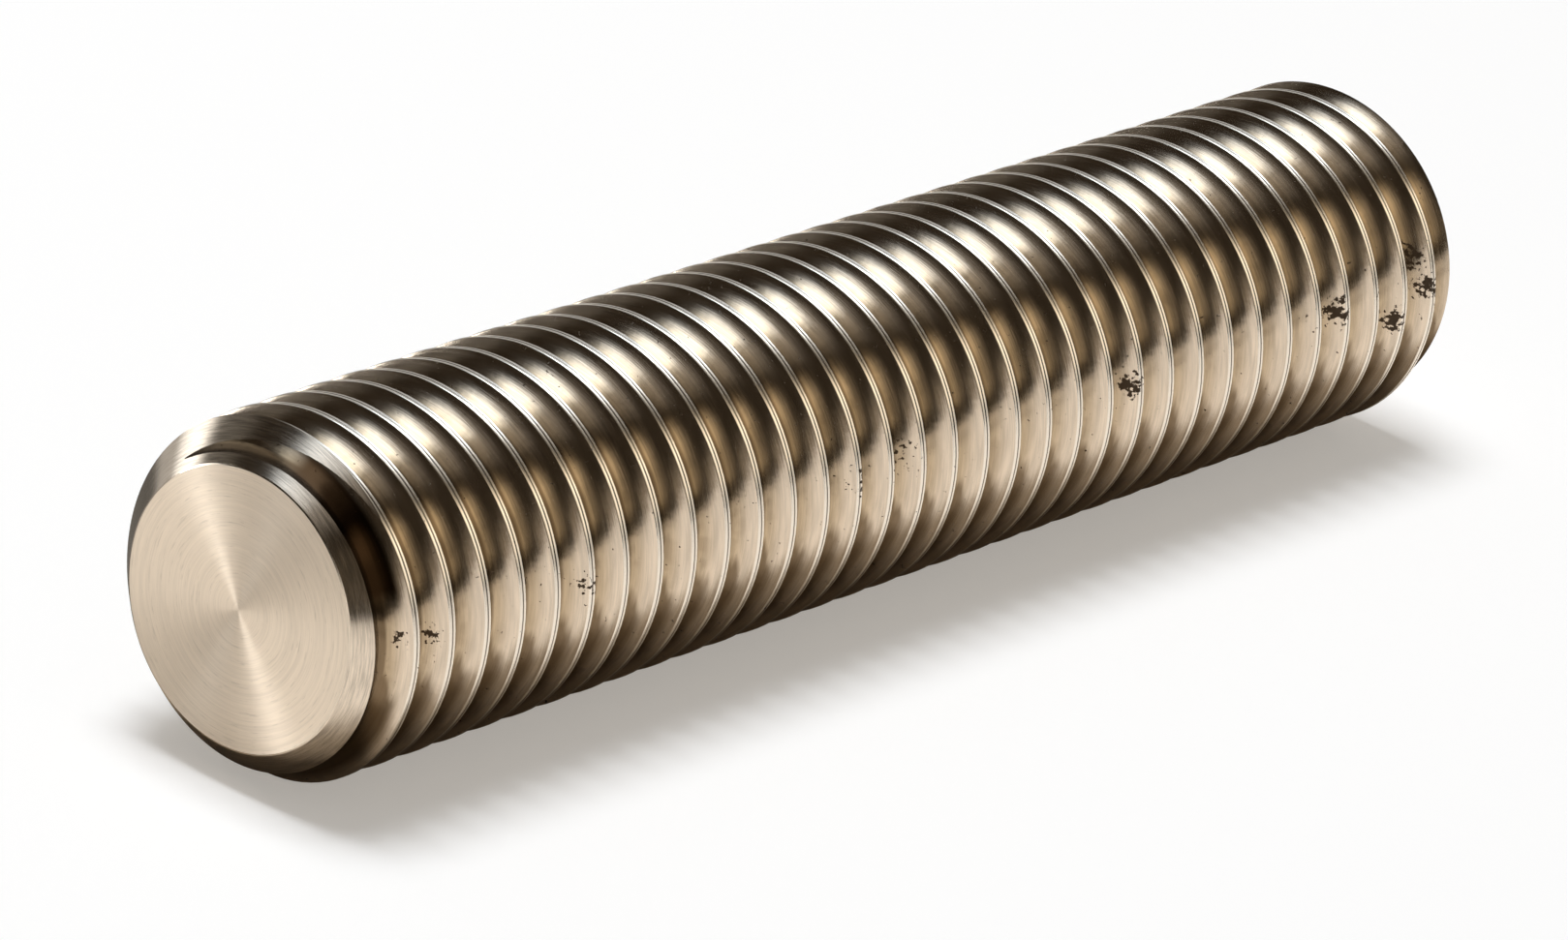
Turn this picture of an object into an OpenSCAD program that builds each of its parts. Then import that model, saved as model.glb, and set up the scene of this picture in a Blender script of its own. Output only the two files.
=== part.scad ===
// Threaded rod: a steel bar cut to length, with a coarse thread from end to end.
// The blank is turned with a flat face and a chamfer at each end. One helical
// groove is then cut along the whole length, so that it runs out on the chamfers.
// The rod stands on its end: +Z is its axis, and z = 0 is the bottom face.

/* [Rod] */
// Diameter over the thread crests, in mm
major_diameter = 18; // [10:0.5:36]
// Length from one end face to the other, in mm
rod_length = 86; // [30:1:200]

/* [Thread] */
// Distance along the rod from one crest to the next, in mm
pitch = 2.5; // [1.5:0.05:3.5]
// Angle between the two flanks of the groove, in degrees
flank_angle = 60; // [50:1:70]
// Width of the flat left on top of the crest, in mm
crest_flat = 0.4; // [0.2:0.05:0.7]
// Radius of the rounded root, in mm
root_radius = 0.28; // [0.15:0.01:0.45]
// Turn of the thread about the rod's axis, in degrees
thread_turn = 0; // [0:5:355]

/* [Ends] */
// Width of the end chamfers, measured across the radius, in mm
chamfer_width = 2; // [0.8:0.1:3]
// Angle of the end chamfers, measured from the rod's axis, in degrees
chamfer_angle = 45; // [30:1:60]

/* [Hidden] */

major_r = major_diameter / 2;
chamfer_length = chamfer_width / tan(chamfer_angle);

// The groove's section: straight flanks down to a rounded root
half_angle = flank_angle / 2;
mouth_half = (pitch - crest_flat) / 2;
sharp_depth = mouth_half / tan(half_angle);
root_r = min(root_radius, 0.6 * sharp_depth * sin(half_angle));
root_centre_depth = sharp_depth - root_r / sin(half_angle);
thread_depth = root_centre_depth + root_r;
tangent_depth = root_centre_depth + root_r * sin(half_angle);
tangent_half = root_r * cos(half_angle);

// The cutter stands a little proud of the crests and of both end faces
proud = 0.7 * crest_flat / 2 / tan(half_angle);
proud_half = mouth_half + proud * tan(half_angle);
steps_per_turn = 32;
groove_start = -pitch / 2;
groove_turns = (rod_length + pitch) / pitch;
groove_steps = ceil(groove_turns * steps_per_turn);

// One section as [radius, offset along the rod]
groove_section = [
    [major_r + proud, -proud_half],
    [major_r - tangent_depth, -tangent_half],
    [major_r - thread_depth, 0],
    [major_r - tangent_depth, tangent_half],
    [major_r + proud, proud_half]
];
section_size = len(groove_section);

function groove_point(step, p) =
    let (turn = 360 * step / steps_per_turn + thread_turn)
    [p[0] * cos(turn), p[0] * sin(turn), groove_start + pitch * step / steps_per_turn + p[1]];

// A right-hand helical sweep of the section, closed at both ends
module thread_groove() {
    points = [for (step = [0:groove_steps]) for (p = groove_section) groove_point(step, p)];
    sides = [for (step = [0:groove_steps - 1]) for (k = [0:section_size - 1])
        let (a = step * section_size + k,
             b = step * section_size + (k + 1) % section_size,
             c = b + section_size,
             d = a + section_size)
        each [[a, d, c], [a, c, b]]];
    first_cap = [for (k = [0:section_size - 1]) k];
    last_cap = [for (k = [section_size - 1:-1:0]) groove_steps * section_size + k];
    polyhedron(points = points, faces = concat([first_cap], sides, [last_cap]), convexity = 20);
}

// The turned blank: end faces, chamfers and the outside diameter
module turned_blank() {
    rotate_extrude($fn = 128)
        polygon([
            [0, 0],
            [major_r - chamfer_width, 0],
            [major_r, chamfer_length],
            [major_r, rod_length - chamfer_length],
            [major_r - chamfer_width, rod_length],
            [0, rod_length]
        ]);
}

module threaded_rod() {
    color([0.66, 0.62, 0.57])
        difference() {
            turned_blank();
            thread_groove();
        }
}

threaded_rod();
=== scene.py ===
import math

import bmesh
import bpy
from mathutils import Matrix, Vector


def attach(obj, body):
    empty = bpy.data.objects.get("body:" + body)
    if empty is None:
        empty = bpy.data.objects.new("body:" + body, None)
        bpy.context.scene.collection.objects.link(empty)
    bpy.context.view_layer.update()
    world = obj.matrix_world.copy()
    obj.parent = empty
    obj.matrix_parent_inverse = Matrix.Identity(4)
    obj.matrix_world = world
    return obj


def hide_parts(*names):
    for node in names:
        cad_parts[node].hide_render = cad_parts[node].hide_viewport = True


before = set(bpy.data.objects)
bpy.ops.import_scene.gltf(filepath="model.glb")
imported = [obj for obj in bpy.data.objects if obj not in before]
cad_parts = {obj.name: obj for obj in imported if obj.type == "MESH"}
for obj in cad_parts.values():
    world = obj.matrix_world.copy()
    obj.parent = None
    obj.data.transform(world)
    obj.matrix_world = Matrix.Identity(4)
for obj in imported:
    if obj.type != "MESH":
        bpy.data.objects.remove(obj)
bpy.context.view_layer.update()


# Sizes of the rod, in mm and degrees

MM = 0.001
RADIUS = 9.0
LENGTH = 86.0
PITCH = 2.5
CREST_FLAT = 0.4
CREST_EDGE = 0.09
SEAM = 0.05
SEAM_DEPTH = 0.03
ROOT_RADIUS = 0.28
HALF_ANGLE = 30.0
FLANK_LEAN = 90.0 - HALF_ANGLE
THREAD_TURN = 0.0
CHAMFER = 2.0
BROKEN_EDGE = 0.05

# Fineness of the mesh: steps in one turn, and pieces in each part of the thread's section
STEPS = 96
BLANK_STEPS = 180
EDGE_PIECES = 3
FLANK_PIECES = 3
ROOT_PIECES = 5

# Leans of the shading normals, and the depth where the eased flank meets the root
SEAM_LEAN = 40.0
EASED_LEAN = 28.0
EASED_DEPTH = 1.25

# Material slots of the rod
THREAD, CONE, FACE = 0, 1, 2


# Thread section

EDGE_START = CREST_FLAT / 2 - CREST_EDGE * math.tan(math.radians(HALF_ANGLE))
EDGE_END = EDGE_START + CREST_EDGE * math.sin(math.radians(FLANK_LEAN))
EDGE_DEPTH = CREST_EDGE * 0.5


def thread_profile():
    """One pitch of the thread in mm, from the middle of a crest.

    Each point is (offset along the rod, depth under the crest).
    """
    lean = math.radians(HALF_ANGLE)
    mouth = (PITCH - CREST_FLAT) / 2
    sharp = mouth / math.tan(lean)
    root_centre = sharp - ROOT_RADIUS / math.sin(lean)
    # a fine seam left by rolling runs along the middle of the crest
    half = [(0.0, SEAM_DEPTH), (SEAM, 0.0)]
    for k in range(EDGE_PIECES + 1):
        t = math.radians(FLANK_LEAN * k / EDGE_PIECES)
        half.append((EDGE_START + CREST_EDGE * math.sin(t), CREST_EDGE * (1 - math.cos(t))))
    root = []
    for k in range(ROOT_PIECES + 1):
        t = lean + (math.pi / 2 - lean) * k / ROOT_PIECES
        root.append((PITCH / 2 - ROOT_RADIUS * math.cos(t), root_centre + ROOT_RADIUS * math.sin(t)))
    a, b = half[-1], root[0]
    flank = [(a[0] + (b[0] - a[0]) * k / FLANK_PIECES, a[1] + (b[1] - a[1]) * k / FLANK_PIECES)
             for k in range(1, FLANK_PIECES)]
    half = half + flank + root
    return half + [(PITCH - u, d) for u, d in reversed(half[1:-1])]


ROOT_DEPTH = max(d for u, d in thread_profile())


# Nodes

class Nodes:
    """A short way to write node trees: every call adds one node and returns its output."""

    def __init__(self, tree):
        self.tree = tree
        tree.nodes.clear()

    def put(self, socket, value):
        if value is None:
            return
        if isinstance(value, bpy.types.NodeSocket):
            self.tree.links.new(value, socket)
        else:
            socket.default_value = value

    def node(self, kind, **settings):
        node = self.tree.nodes.new(kind)
        for name, value in settings.items():
            setattr(node, name, value)
        return node

    def math(self, op, a, b=None, clamp=False):
        node = self.node("ShaderNodeMath", operation=op, use_clamp=clamp)
        for socket, value in zip(node.inputs, (a, b)):
            self.put(socket, value)
        return node.outputs[0]

    def weigh(self, a, share_a, b, share_b):
        """The sum of two values, each times its share."""
        return self.math("ADD", self.math("MULTIPLY", a, share_a), self.math("MULTIPLY", b, share_b))

    def vector(self, op, a, b=None, scale=None):
        node = self.node("ShaderNodeVectorMath", operation=op)
        self.put(node.inputs[0], a)
        self.put(node.inputs[1], b)
        if scale is not None:
            self.put([s for s in node.inputs if s.identifier == "Scale"][0], scale)
        return node.outputs[1] if op == "DISTANCE" else node.outputs[0]

    def ramp(self, value, start, end, low=0.0, high=1.0):
        """low at start, high at end, smooth between; start may be the larger."""
        node = self.node("ShaderNodeMapRange", interpolation_type="SMOOTHSTEP")
        if start > end:
            start, end, low, high = end, start, high, low
        for name, v in (("From Min", start), ("From Max", end), ("To Min", low), ("To Max", high)):
            node.inputs[name].default_value = v
        self.put(node.inputs["Value"], value)
        return node.outputs["Result"]

    def band(self, value, a, b, c, d):
        """0 up to a, 1 from b to c and 0 again from d."""
        return self.math("MULTIPLY", self.ramp(value, a, b), self.ramp(value, d, c))

    def mix(self, factor, a, b):
        node = self.node("ShaderNodeMix", data_type="RGBA")
        self.put(node.inputs[0], factor)
        self.put(node.inputs[6], a)
        self.put(node.inputs[7], b)
        return node.outputs[2]

    def mix_shader(self, factor, a, b):
        node = self.node("ShaderNodeMixShader")
        for socket, value in zip(node.inputs, (factor, a, b)):
            self.put(socket, value)
        return node.outputs[0]

    def noise(self, place, scale, detail, rough):
        node = self.node("ShaderNodeTexNoise")
        self.put(node.inputs["Vector"], place)
        node.inputs["Scale"].default_value = scale
        node.inputs["Detail"].default_value = detail
        node.inputs["Roughness"].default_value = rough
        return node.outputs[0]

    def combine(self, x, y, z):
        node = self.node("ShaderNodeCombineXYZ")
        for socket, value in zip(node.inputs, (x, y, z)):
            self.put(socket, value)
        return node.outputs[0]

    def round_axis(self, x, y, share, level):
        """A place for noise that is drawn out round the axis: share is how much of x and y counts."""
        return self.combine(self.math("MULTIPLY", x, share), self.math("MULTIPLY", y, share), level)

    def place_mm(self):
        """Object coordinates in mm, as a vector and as x, y and z."""
        coord = self.node("ShaderNodeTexCoord")
        place = self.vector("SCALE", coord.outputs["Object"], scale=1000.0)
        split = self.node("ShaderNodeSeparateXYZ")
        self.put(split.inputs[0], place)
        x, y, z = split.outputs
        return place, x, y, z


def steel_place(n):
    """Object coordinates in mm: the point, x, y, z and the distance from the axis."""
    place, x, y, z = n.place_mm()
    return place, x, y, z, n.math("SQRT", n.math("ADD", n.math("MULTIPLY", x, x), n.math("MULTIPLY", y, y)))


# Dirt: small clusters of dark specks, mostly along the side that faces the camera
# each is the angle about the axis in degrees, the place along the rod and the size of the cluster in mm

DIRT_RADIUS = 8.5
DIRT_SPOTS = (
    (-9, 1.6, 0.6), (-6, 3.9, 0.8), (-10, 10.9, 1.0), (-7, 15.0, 0.8), (-2, 23.4, 0.8),
    (-11, 35.5, 1.1), (-13, 38.5, 1.2), (-10, 57.2, 0.9), (-12, 66.0, 0.5), (-11, 74.6, 1.0),
    (-14, 78.1, 1.0), (-20, 81.2, 1.2), (-9, 82.5, 1.1), (0, 79.6, 0.9), (70, 20.0, 0.8),
    (150, 46.0, 0.9), (-130, 40.0, 0.8),
)


def dirt_mask(n, place):
    """Where dirt lies: broken up specks inside each cluster."""
    near = None
    for turn, z, size in DIRT_SPOTS:
        a = math.radians(turn)
        d = n.vector("DISTANCE", place, (DIRT_RADIUS * math.cos(a), DIRT_RADIUS * math.sin(a), z))
        m = n.ramp(d, size * 1.3, size * 0.2)
        near = m if near is None else n.math("MAXIMUM", near, m)
    speck = n.noise(place, 3.9, 4.0, 0.55)
    level = n.math("ADD", n.math("MULTIPLY", near, 0.28), speck)
    return n.ramp(level, 0.685, 0.725, 0.0, 0.94)


# Steel

BRIGHT = (0.78, 0.69, 0.59, 1)
# painted shade for the root of the thread
ROOT_SHADE = (0.54, 0.43, 0.30, 1)
CREST_WEAR_AND_HIGHLIGHT = (0.95, 0.91, 0.85, 1)
# painted shade in the grooves
GROOVE_SHADE = (0.13, 0.085, 0.045, 1)
# a near black for the real dirt specks and for painted shade
DIRT_AND_SHADE = (0.04, 0.024, 0.013, 1)


def new_material(name):
    mat = bpy.data.materials.new(name)
    mat.use_nodes = True
    n = Nodes(mat.node_tree)
    out = n.node("ShaderNodeOutputMaterial")
    return mat, n, out


def steel_shader(n, out, colour, rough, height, distance, strength=1.0):
    """Bare metal with a bump; distance is the height of the bump in metres."""
    p = n.node("ShaderNodeBsdfPrincipled")
    p.inputs["Metallic"].default_value = 1.0
    n.put(p.inputs["Base Color"], colour)
    n.put(p.inputs["Roughness"], rough)
    bump = n.node("ShaderNodeBump")
    bump.inputs["Strength"].default_value = strength
    bump.inputs["Distance"].default_value = distance
    n.put(bump.inputs["Height"], height)
    n.put(p.inputs["Normal"], bump.outputs[0])
    n.tree.links.new(p.outputs[0], out.inputs[0])
    return p


def thread_steel():
    mat, n, out = new_material("steel_thread")
    place, x, y, z, r = steel_place(n)
    depth = n.math("SUBTRACT", RADIUS, r)
    # fine lines that run round the rod, at every depth of the flank
    level = n.math("ADD", r, n.math("MULTIPLY", z, 0.11))
    lines = n.noise(n.round_axis(x, y, 0.035, level), 14.0, 3.0, 0.6)
    broad = n.noise(n.round_axis(x, y, 0.12, level), 3.2, 2.0, 0.5)
    cloud = n.noise(place, 0.55, 3.0, 0.55)
    # painted shade: bright near the crest, warmer and darker towards the root, with a light worn strip on
    # the crest that is partly a painted highlight
    colour = n.mix(n.ramp(depth, 0.15, 1.15), BRIGHT, ROOT_SHADE)
    tone = n.weigh(lines, 0.30, broad, 0.22)
    colour = n.vector("SCALE", colour, scale=n.ramp(tone, 0.16, 0.36, 0.80, 1.08))
    # the crest strip: real wear, lightened further as a painted highlight along every crest
    crest = n.ramp(depth, 0.05, 0.015)
    colour = n.mix(crest, colour, CREST_WEAR_AND_HIGHLIGHT)
    dirt = dirt_mask(n, place)
    # painted shade in the grooves: in patches along the root, and thick in the root of the side that the rod
    # lies on
    groove_shade = n.math("MULTIPLY", n.ramp(cloud, 0.50, 0.66, 0.0, 0.3), n.ramp(depth, 0.35, 1.2))
    angle = n.math("MULTIPLY", n.math("ARCTAN2", y, x), 180 / math.pi)
    low = n.math("ADD", angle, n.math("MULTIPLY", depth, 9.0))
    low = n.math("ADD", low, n.math("MULTIPLY", n.math("SUBTRACT", broad, 0.5), 14.0))
    low = n.math("MULTIPLY", n.band(low, 12.0, 20.0, 120.0, 150.0), n.ramp(depth, 0.10, 0.7))
    groove_shade = n.math("MAXIMUM", groove_shade, n.math("MULTIPLY", low, 0.8))
    # the painted shade is darkest at the bottom of the grooves
    groove_shade = n.math("MAXIMUM", groove_shade, n.ramp(depth, 1.06, 1.24, 0.0, 0.75))
    colour = n.mix(groove_shade, colour, GROOVE_SHADE)
    # painted shade: the first groove is nearly black beside the end face
    first_groove_shade = n.math("MULTIPLY", n.ramp(z, 3.1, 2.2), n.band(angle, -95.0, -75.0, -26.0, -14.0))
    colour = n.mix(n.math("MULTIPLY", first_groove_shade, n.ramp(depth, 0.15, 0.6)), colour, DIRT_AND_SHADE)
    # painted shade darkens the seam along the middle of the crest
    turned = n.math("DIVIDE", n.math("SUBTRACT", angle, THREAD_TURN), 360.0)
    turns = n.math("SUBTRACT", n.math("DIVIDE", z, PITCH), turned)
    across = n.math("FRACT", n.math("ADD", turns, 0.5))
    across = n.math("ABSOLUTE", n.math("SUBTRACT", across, 0.5))
    seam_shade = n.math("MULTIPLY", n.ramp(across, 0.024, 0.014), n.ramp(depth, 0.08, 0.05))
    colour = n.mix(n.math("MULTIPLY", seam_shade, 0.75), colour, DIRT_AND_SHADE)
    # real dirt: the clusters of specks
    colour = n.mix(dirt, colour, DIRT_AND_SHADE)
    rough = n.math("ADD", 0.12, n.math("MULTIPLY", lines, 0.10))
    rough = n.math("ADD", rough, n.math("MULTIPLY", crest, 0.05))
    rough = n.math("ADD", rough, n.math("MULTIPLY", dirt, 0.4), clamp=True)
    steel_shader(n, out, colour, rough, n.weigh(lines, 0.5, cloud, 1.6), 0.00001, 0.8)
    return mat


def chamfer_steel():
    mat, n, out = new_material("steel_chamfer")
    _, x, y, _, r = steel_place(n)
    # turning lines round the cone
    lines = n.noise(n.round_axis(x, y, 0.05, r), 16.0, 3.0, 0.65)
    fine = n.noise(n.round_axis(x, y, 0.02, r), 30.0, 2.0, 0.6)
    shade = n.ramp(n.weigh(lines, 0.5, fine, 0.5), 0.36, 0.62, 0.72, 1.12)
    # painted shade: the cone's colour is darker on its left side
    left = n.weigh(x, -0.985, y, -0.174)
    left_shade = n.ramp(n.math("DIVIDE", left, r), 0.72, 0.88, 1.0, 0.45)
    colour = n.vector("SCALE", (0.74, 0.67, 0.59), scale=n.math("MULTIPLY", shade, left_shade))
    rough = n.math("ADD", 0.13, n.math("MULTIPLY", lines, 0.10))
    height = n.math("ADD", lines, n.math("MULTIPLY", fine, 0.5))
    steel_shader(n, out, colour, rough, height, 0.0000015)
    return mat


def face_steel():
    mat, n, out = new_material("steel_face")
    _, x, y, _, r = steel_place(n)
    # turning rings: a steady feed with uneven depth, finer rings over it and a few deeper arcs
    rings = n.noise(n.round_axis(x, y, 0.045, r), 4.0, 4.0, 0.7)
    fine = n.noise(n.round_axis(x, y, 0.02, r), 13.0, 3.0, 0.7)
    arcs = n.noise(n.round_axis(x, y, 0.22, n.math("MULTIPLY", r, 2.4)), 4.2, 2.0, 0.5)
    deep = n.ramp(arcs, 0.60, 0.72)
    shade = n.ramp(n.weigh(rings, 0.45, fine, 0.55), 0.34, 0.64, 0.90, 1.04)
    shade = n.math("SUBTRACT", shade, n.math("MULTIPLY", deep, 0.14))
    colour = n.vector("SCALE", (0.84, 0.76, 0.665), scale=shade)
    rough = n.math("ADD", 0.35, n.math("MULTIPLY", fine, 0.10))
    height = n.math("ADD", rings, n.math("MULTIPLY", fine, 0.6))
    p = steel_shader(n, out, colour, rough, height, 0.000005)
    p.inputs["Anisotropic"].default_value = 0.92
    p.inputs["Anisotropic Rotation"].default_value = 0.25
    tangent = n.node("ShaderNodeTangent", direction_type="RADIAL", axis="Z")
    n.put(p.inputs["Tangent"], tangent.outputs[0])
    return mat


# in the order of the material slots
MATERIALS = (thread_steel(), chamfer_steel(), face_steel())


# Rod

def mesh_object(name, verts, faces):
    me = bpy.data.meshes.new(name)
    me.from_pydata(verts, [], faces)
    obj = bpy.data.objects.new(name, me)
    bpy.context.scene.collection.objects.link(obj)
    for mat in MATERIALS:
        me.materials.append(mat)
    return obj


def thread_bar():
    """The helical thread as a closed bar, longer than the rod at both ends."""
    ring = thread_profile()
    n = len(ring)
    before, after = 2, 2
    total = int((LENGTH / PITCH + before + after) * STEPS)
    verts, faces = [], []
    # the section climbs one pitch in a turn, so a step's last point meets the first point of a turn later
    for i in range(total + 1):
        angle = math.radians(THREAD_TURN) + 2 * math.pi * i / STEPS
        z0 = PITCH * (i / STEPS - before)
        for u, d in ring:
            r = RADIUS - d
            verts.append((r * math.cos(angle) * MM, r * math.sin(angle) * MM, (z0 + u) * MM))

    def vert(i, k):
        return i * n + k if k < n else (i + STEPS) * n + (k - n)

    for i in range(total):
        for k in range(n):
            if k == n - 1 and i + 1 + STEPS > total:
                continue
            faces.append((vert(i, k), vert(i + 1, k), vert(i + 1, k + 1), vert(i, k + 1)))
    obj = mesh_object("thread_bar", verts, faces)
    bm = bmesh.new()
    bm.from_mesh(obj.data)
    bmesh.ops.holes_fill(bm, edges=[e for e in bm.edges if e.is_boundary], sides=0)
    bmesh.ops.triangulate(bm, faces=[f for f in bm.faces if len(f.verts) > 4])
    bmesh.ops.recalc_face_normals(bm, faces=bm.faces)
    bm.to_mesh(obj.data)
    bm.free()
    return obj


def turned_blank():
    """The turned outline: two end faces and two chamfers, with lightly broken edges."""
    face = RADIUS - CHAMFER
    rise = BROKEN_EDGE * 0.7
    proud = 0.5
    low = [(0.0, 0.0), (face - BROKEN_EDGE, 0.0), (face + rise, rise), (RADIUS + proud, CHAMFER + proud)]
    outline = low + [(r, LENGTH - z) for r, z in reversed(low)]
    slots = [FACE, CONE, CONE, THREAD, CONE, CONE, FACE]
    verts, faces, kinds, rows = [], [], [], []
    for r, z in outline:
        count = 1 if r == 0.0 else BLANK_STEPS
        rows.append([len(verts) + j % count for j in range(BLANK_STEPS)])
        for j in range(count):
            a = 2 * math.pi * j / BLANK_STEPS
            verts.append((r * math.cos(a) * MM, r * math.sin(a) * MM, z * MM))
    for a, b, kind in zip(rows, rows[1:], slots):
        for j in range(BLANK_STEPS):
            k = (j + 1) % BLANK_STEPS
            corners = []
            for v in (a[j], a[k], b[k], b[j]):
                if v not in corners:
                    corners.append(v)
            faces.append(corners)
            kinds.append(kind)
    obj = mesh_object("turned_blank", verts, faces)
    for poly, kind in zip(obj.data.polygons, kinds):
        poly.material_index = kind
    return obj


def offset(co):
    """How far a point lies from the middle of the nearest crest, in mm along the rod."""
    z0 = PITCH * (math.degrees(math.atan2(co.y, co.x)) - THREAD_TURN) / 360.0
    return (co.z / MM - z0 + PITCH / 2) % PITCH - PITCH / 2


def thread_lean(face_u, u, depth):
    """How far the shading normal leans away from the radius, in degrees.

    The flanks are straight in the mesh. Only their normals ease towards the root, as on a long curve.
    """
    u = abs(u)
    if face_u < SEAM:
        return -SEAM_LEAN * min(1.0, u / SEAM)
    if face_u < EDGE_START:
        return 0.0
    if face_u < EDGE_END:
        return FLANK_LEAN * min(1.0, max(0.0, (u - EDGE_START) / (EDGE_END - EDGE_START)))
    if depth < EASED_DEPTH:
        part = (FLANK_LEAN - EASED_LEAN) * max(0.0, depth - EDGE_DEPTH)
        return FLANK_LEAN - part / (EASED_DEPTH - EDGE_DEPTH)
    return max(0.0, EASED_LEAN * (ROOT_DEPTH - depth) / (ROOT_DEPTH - EASED_DEPTH))


def set_normals(me):
    """Shading normals by rule and not from the faces, so that the long slivers at the run-outs don't show.

    The thread takes the eased lean, the end faces are flat, and the chamfers are smooth round the axis.
    """
    normals = [None] * len(me.loops)
    for poly in me.polygons:
        poly.use_smooth = True
        face_u = offset(poly.center)
        for li in poly.loop_indices:
            co = me.vertices[me.loops[li].vertex_index].co
            r = math.hypot(co.x, co.y)
            out = Vector((co.x / r, co.y / r, 0)) if r > 1e-6 else Vector((1, 0, 0))
            if poly.material_index == THREAD:
                lean = math.radians(thread_lean(abs(face_u), offset(co), RADIUS - r / MM))
                lead = math.atan(PITCH / (2 * math.pi * r / MM))
                side = Vector((out.y * math.sin(lead), -out.x * math.sin(lead), math.cos(lead)))
                normal = out * math.cos(lean) + side * math.sin(lean) * (1 if face_u > 0 else -1)
            elif abs(poly.normal.z) > 0.95:
                normal = Vector((0, 0, 1 if poly.normal.z > 0 else -1))
            else:
                rise = poly.normal.z
                normal = out * math.sqrt(max(0.0, 1 - rise * rise)) + Vector((0, 0, rise))
            normals[li] = normal.normalized()
    me.normals_split_custom_set(normals)


rod = thread_bar()
blank = turned_blank()
cut = rod.modifiers.new("ends", "BOOLEAN")
cut.operation = "INTERSECT"
cut.solver = "EXACT"
cut.object = blank
bpy.context.view_layer.objects.active = rod
rod.select_set(True)
bpy.ops.object.modifier_apply(modifier="ends")
bpy.data.objects.remove(blank)
rod.name = "rod_surface"
rod.data.name = "rod_surface"
set_normals(rod.data)
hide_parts("threaded_rod")
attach(rod, "root")


# Stage

def stage_plane(name, corners, mat):
    me = bpy.data.meshes.new(name)
    me.from_pydata([Vector(c) for c in corners], [], [tuple(range(len(corners)))])
    me.materials.append(mat)
    obj = bpy.data.objects.new(name, me)
    bpy.context.scene.collection.objects.link(obj)
    return obj


def reflected_surface(n):
    """What the metal sees of the surface it lies on, by place in mm.

    Warm white, with a painted shadow close beside the rod, painted shade to its left and a painted dark
    strip off to its right.
    """
    _, across, _, along = n.place_mm()
    length = n.band(along, -4.0, 0.0, 84.0, 90.0)
    # a painted shadow beside the rod and painted dark zones, for glossy rays only
    under = n.math("MULTIPLY", n.band(across, -16.0, -12.0, 11.0, 15.0), length)
    left = n.math("MULTIPLY", n.band(across, -90.0, -60.0, -16.0, -12.0), length)
    strip = n.math("MULTIPLY", n.band(across, 58.0, 68.0, 84.0, 98.0), n.math("MULTIPLY", length, 0.6))
    tint = n.mix(strip, (0.96, 0.88, 0.78, 1), (0.2, 0.16, 0.11, 1))
    tint = n.mix(left, tint, (0.20, 0.18, 0.155, 1))
    surface = n.node("ShaderNodeBsdfDiffuse")
    n.put(surface.inputs["Color"], n.mix(under, tint, (0.36, 0.29, 0.21, 1)))
    return surface.outputs[0]


def stage_material(name, lift, mirrored):
    """Plain white that keeps the rod's shadow and is seen from its front only.

    lift is how much of its white stays in the shadow.
    """
    mat, n, out = new_material(name)
    diffuse = n.node("ShaderNodeBsdfDiffuse")
    diffuse.inputs["Color"].default_value = (1 - lift, 1 - lift * 0.94, 1 - lift * 0.86, 1)
    glow = n.node("ShaderNodeEmission")
    glow.inputs["Color"].default_value = (1, 0.94, 0.86, 1)
    glow.inputs["Strength"].default_value = lift
    plain = n.node("ShaderNodeAddShader")
    n.put(plain.inputs[0], diffuse.outputs[0])
    n.put(plain.inputs[1], glow.outputs[0])
    seen = plain.outputs[0]
    if mirrored:
        # glossy rays see the surface with its painted shadow and painted dark zones
        path = n.node("ShaderNodeLightPath")
        seen = n.mix_shader(path.outputs["Is Glossy Ray"], seen, reflected_surface(n))
    clear = n.node("ShaderNodeBsdfTransparent")
    geo = n.node("ShaderNodeNewGeometry")
    front = n.mix_shader(geo.outputs["Backfacing"], seen, clear.outputs[0])
    n.tree.links.new(front, out.inputs[0])
    return mat


FAR = 1.5
# the surface that the rod touches along its side in the photograph; its front faces the rod
TOUCH = 0.00902
# the floor under the standing rod lies a hair below its end face and shows from above only
FLOOR = -0.00002
CORNERS = ((-FAR, -FAR), (FAR, -FAR), (FAR, FAR), (-FAR, FAR))
stage_plane("backdrop", [(a, TOUCH, b) for a, b in CORNERS], stage_material("stage_backdrop", 0.37, True))
floor = stage_plane("floor", [(a, b, FLOOR) for a, b in CORNERS], stage_material("stage_floor", 0.74, False))
floor.visible_glossy = False
floor.visible_diffuse = False
floor.visible_shadow = False


# Light

def area(name, place, target, size, radiance):
    """A soft box. An area lamp of power W and area A has a radiance of W / (pi A)."""
    lamp = bpy.data.lights.new(name, "AREA")
    lamp.shape = "RECTANGLE"
    lamp.size, lamp.size_y = size
    lamp.energy = radiance * math.pi * lamp.size * lamp.size_y
    obj = bpy.data.objects.new(name, lamp)
    bpy.context.scene.collection.objects.link(obj)
    place, target = Vector(place), Vector(target)
    obj.location = place
    obj.rotation_euler = (target - place).to_track_quat("-Z", "Y").to_euler()
    return obj


# the key hangs over the rod, a little to the side away from the camera, and makes the shadow
KEY_TURN = math.radians(-98)
KEY_PLACE = (math.cos(KEY_TURN), math.sin(KEY_TURN), -0.017)
MIDDLE = (0, 0, 0.043)
key = area("key", KEY_PLACE, MIDDLE, (0.45, 0.4), 15.8)
key.visible_glossy = False

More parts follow.
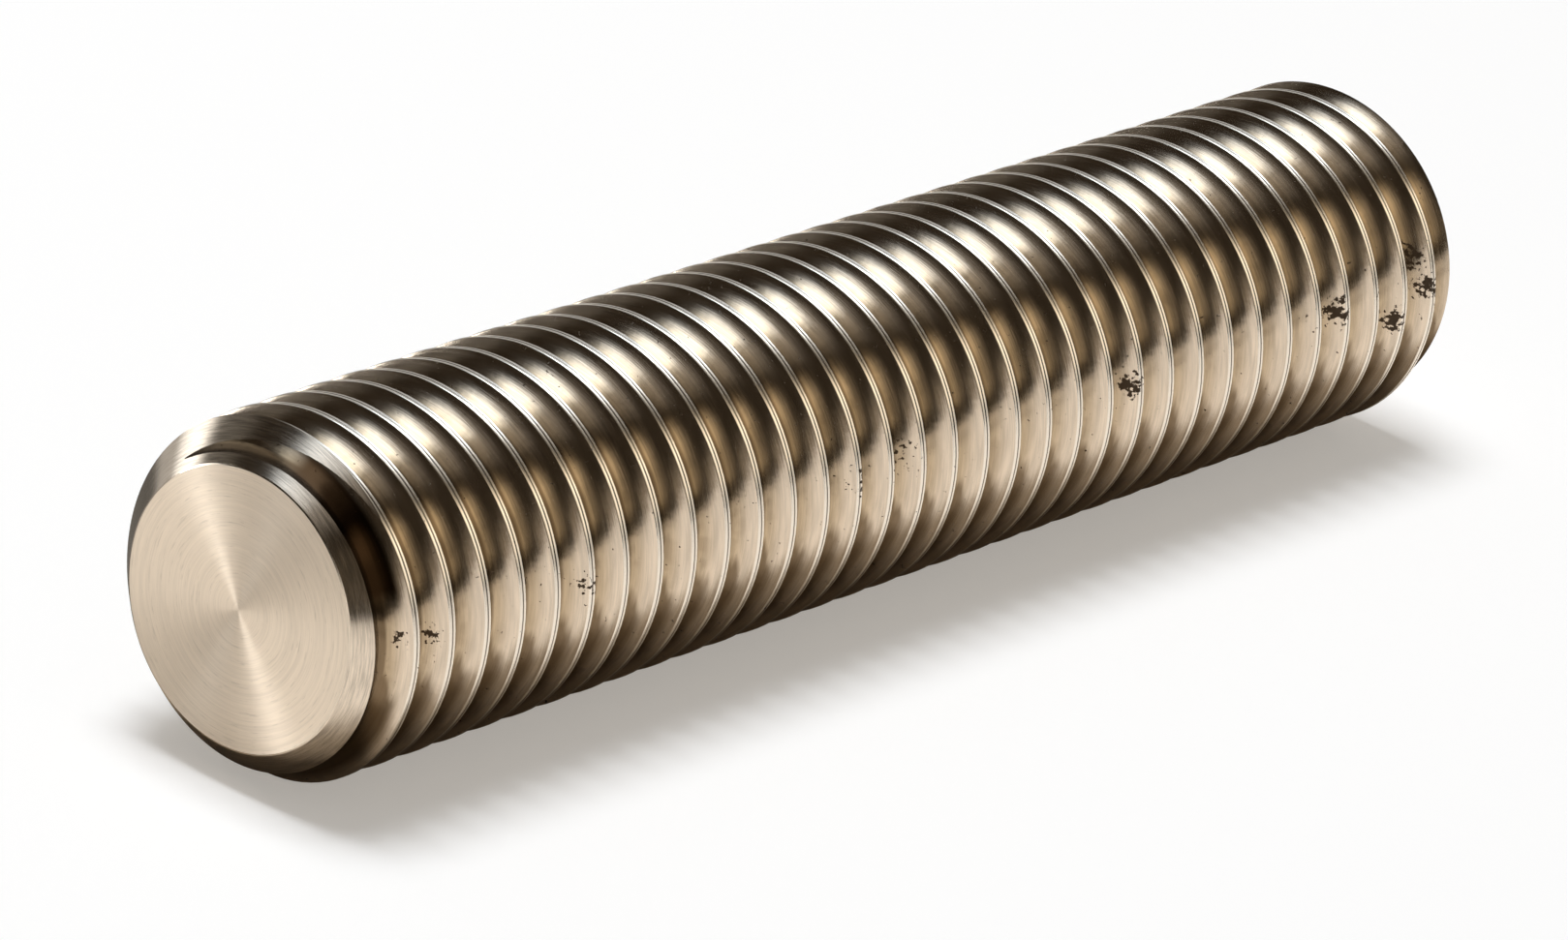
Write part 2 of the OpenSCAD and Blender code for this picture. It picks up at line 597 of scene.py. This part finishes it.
# What the metal reflects: soft boxes and dark gaps laid out about the rod's axis
# turn is the angle about the axis in degrees, 0 straight over the rod
# and 90 level with the surface on the camera's side
# along is the part of the direction that points along the rod, -1 ahead of the end face that the camera sees
# each box is its band of turn, its band of along and its colour
BOXES = (
    # key
    ((-34, -18, -4, 6), (-0.68, -0.32, 0.90, 0.97), (2.4, 2.6, 2.75)),
    # soft light from behind the far end on the side away from the camera
    ((-85, -66, -36, -26), (0.14, 0.26, 0.45, 0.60), (0.50, 0.48, 0.44)),
    # spill of the key
    ((-28, -8, 6, 30), (-0.90, -0.40, 0.90, 0.97), (0.40, 0.36, 0.31)),
    # side box on the camera's side, brightest along its upper edge
    ((28, 41, 48, 60), (-0.70, -0.1, 0.90, 0.97), (0.50, 0.41, 0.29)),
    ((34, 46, 74, 83), (-0.80, -0.1, 0.90, 0.97), (0.50, 0.41, 0.29)),
    # left box, and a low strip of light that the turned end face catches
    ((-97, -90, -79, -72), (-0.14, -0.04, 0.16, 0.26), (2.0, 1.95, 1.85)),
    ((-93, -90, -83, -78), (-0.57, -0.51, -0.36, -0.29), (12.0, 11.7, 11.2)),
    # boxes beyond the far end, seen in the crests
    ((-100, -90, -42, -22), (0.45, 0.60, 1.1, 1.2), (0.38, 0.375, 0.36)),
    ((32, 56, 86, 92), (0.45, 0.60, 1.1, 1.2), (0.55, 0.51, 0.44)),
    # low light ahead of the end face
    ((60, 84, 100, 130), (-1.1, -1.05, -0.80, -0.7), (0.22, 0.18, 0.13)),
    ((-110, -75, -62, -50), (-0.7, -0.5, 0.2, 0.6), (0.10, 0.095, 0.085)),
)
DARK = (0.028, 0.020, 0.012)

world = bpy.data.worlds.new("studio")
bpy.context.scene.world = world
world.use_nodes = True
n = Nodes(world.node_tree)


def background(colour):
    node = n.node("ShaderNodeBackground")
    n.put(node.inputs["Color"], colour)
    return node.outputs[0]


coord = n.node("ShaderNodeTexCoord")
split = n.node("ShaderNodeSeparateXYZ")
n.put(split.inputs[0], coord.outputs["Generated"])
over = n.math("MULTIPLY", split.outputs["Y"], -1.0)
turn = n.math("MULTIPLY", n.math("ARCTAN2", split.outputs["X"], over), 180 / math.pi)
along = split.outputs["Z"]
total = DARK
for turn_band, along_band, colour in BOXES:
    mask = n.math("MULTIPLY", n.band(turn, *turn_band), n.band(along, *along_band))
    total = n.vector("ADD", n.vector("SCALE", colour, scale=mask), total)
# glossy rays see the boxes, the camera sees white and all other rays see a plain fill
path = n.node("ShaderNodeLightPath")
lit = n.mix_shader(path.outputs["Is Glossy Ray"], background((0.15, 0.15, 0.148, 1)), background(total))
seen = n.mix_shader(path.outputs["Is Camera Ray"], lit, background((1, 1, 1, 1)))
n.tree.links.new(seen, n.node("ShaderNodeOutputWorld").inputs[0])


# Camera: rolled, because the rod stands here and lies on its side in the photograph

cam = bpy.data.cameras.new("camera")
cam.sensor_width = 36.0
cam.lens = 229.72
cam.clip_start = 0.01
cam_obj = bpy.data.objects.new("camera", cam)
bpy.context.scene.collection.objects.link(cam_obj)
right = Vector((0.758748, -0.139283, 0.636319))
up = Vector((-0.349779, -0.911205, 0.217625))
back = Vector((0.549506, -0.387693, -0.740093))
basis = Matrix((right, up, back)).transposed().to_4x4()
cam_obj.matrix_world = Matrix.Translation(Vector((0.273591, -0.190512, -0.327910))) @ basis
bpy.context.scene.camera = cam_obj
bpy.context.scene.view_settings.view_transform = "Standard"
